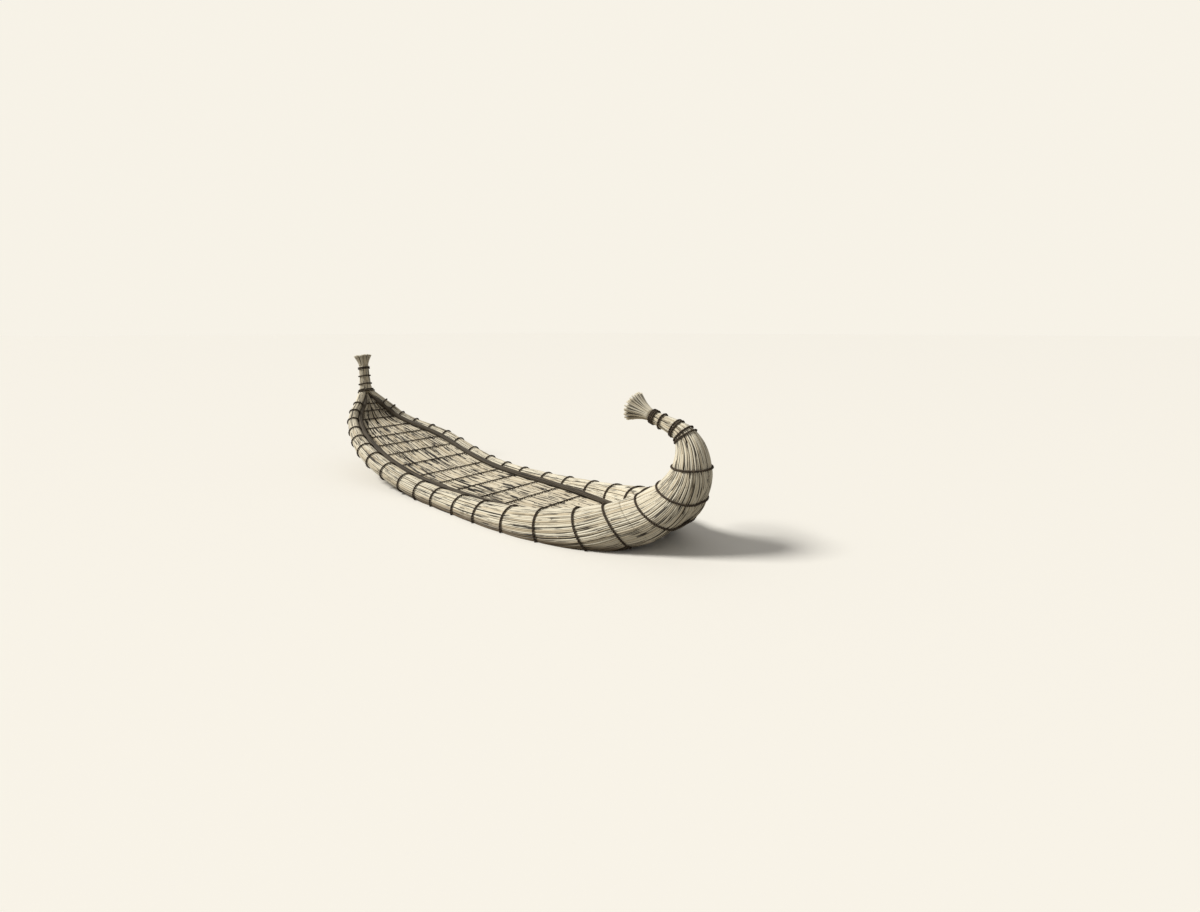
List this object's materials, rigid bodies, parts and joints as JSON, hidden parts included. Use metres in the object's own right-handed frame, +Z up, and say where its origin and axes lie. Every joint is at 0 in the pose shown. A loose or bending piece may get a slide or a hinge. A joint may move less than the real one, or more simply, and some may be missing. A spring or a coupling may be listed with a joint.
{
  "type": "reed boat",
  "caption": "Papyrus reed boat with bulging side rolls bound by rope rings, a deck mat, an upright tufted stern and a bow that curls back in a tufted horn.",
  "frame": {"origin": "on the centreline, amidships, at the level of the water the boat floats in", "axes": "+X from the stern to the bow, +Y to port, +Z up"},
  "size_m": [5.6334, 1.4558, 1.6186],
  "materials": {
    "bundle_reed": "dry papyrus stalks laid lengthwise, dull",
    "mat_reed": "flat mat of dry reeds laid lengthwise, dull",
    "loose_reed": "loose dry reed ends, dull",
    "rope": "dark twisted plant-fibre rope"
  },
  "bodies": {
    "root": {"bilge_bundle_port": "bundle_reed", "bilge_bundle_starboard": "bundle_reed", "bow_horn": "bundle_reed", "bow_tuft": "loose_reed", "deck_lashings": "rope", "deck_mat": "mat_reed", "edge_roll_port": "bundle_reed", "edge_roll_starboard": "bundle_reed", "gunwale_rings_port": "rope", "gunwale_rings_starboard": "rope", "gunwale_roll_port": "bundle_reed", "gunwale_roll_starboard": "bundle_reed", "horn_lashing_1": "rope", "horn_lashing_2": "rope", "horn_lashing_3": "rope", "horn_lashing_4": "rope", "horn_lashing_5": "rope", "horn_lashing_6": "rope", "horn_lashing_7": "rope", "keel_bundle": "bundle_reed", "neck_lashing_1": "rope", "neck_lashing_2": "rope", "neck_lashing_3": "rope", "neck_lashing_4": "rope", "stern_neck": "bundle_reed", "stern_tuft": "loose_reed"}
  },
  "joints": []
}
